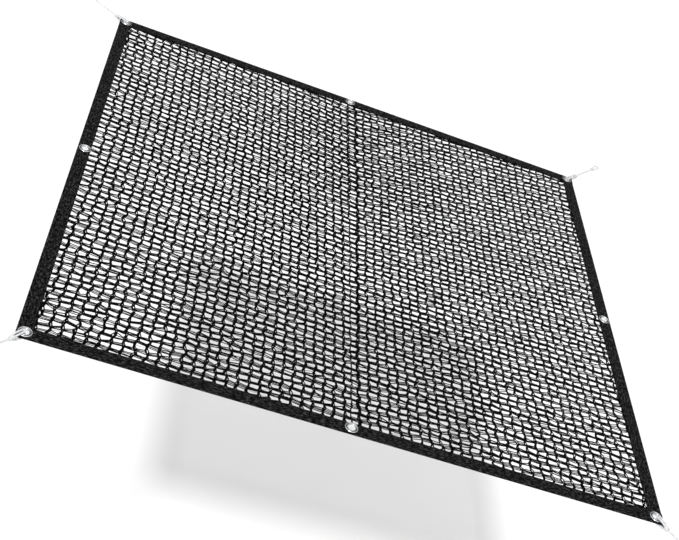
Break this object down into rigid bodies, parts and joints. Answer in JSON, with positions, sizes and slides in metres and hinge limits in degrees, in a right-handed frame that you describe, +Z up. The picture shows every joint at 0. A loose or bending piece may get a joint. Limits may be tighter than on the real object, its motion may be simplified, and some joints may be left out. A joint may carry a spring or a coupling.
{
  "type": "shade cloth",
  "caption": "Square of knitted open-mesh shade netting with taped edges, metal eyelets round the border and a knotted cord tie at each corner.",
  "frame": {"origin": "the middle of the round end of the far left tie's loop, where a hook holds it; the cloth lies level in the plane z = 0", "axes": "+X runs from the left side of the cloth to the right, +Y from its near side to its far side, +Z is up, out of the cloth's upper face"},
  "size_m": [1.192, 1.202, 0.0129],
  "materials": {
    "net": "black knitted polyethylene tape and monofilament, with a soft sheen",
    "binding": "black woven tape, fine twill, folded over the edge and sewn",
    "eyelet": "bright pressed metal, slightly brushed",
    "cord": "white braided cord"
  },
  "bodies": {
    "root": {"net": "net", "binding_near": "binding", "binding_far": "binding", "binding_left": "binding", "binding_right": "binding", "eyelet_near_left": "eyelet", "eyelet_near_middle": "eyelet", "eyelet_near_right": "eyelet", "eyelet_right_middle": "eyelet", "eyelet_far_right": "eyelet", "eyelet_far_middle": "eyelet", "eyelet_far_left": "eyelet", "eyelet_left_middle": "eyelet", "hitch_near_left": "cord", "hitch_near_right": "cord", "hitch_far_right": "cord", "hitch_far_left": "cord", "cord_near_left": "cord", "cord_near_right": "cord", "cord_far_right": "cord", "cord_far_left": "cord", "loop_near_left": "cord", "loop_near_right": "cord", "loop_far_right": "cord", "loop_far_left": "cord"}
  },
  "joints": []
}
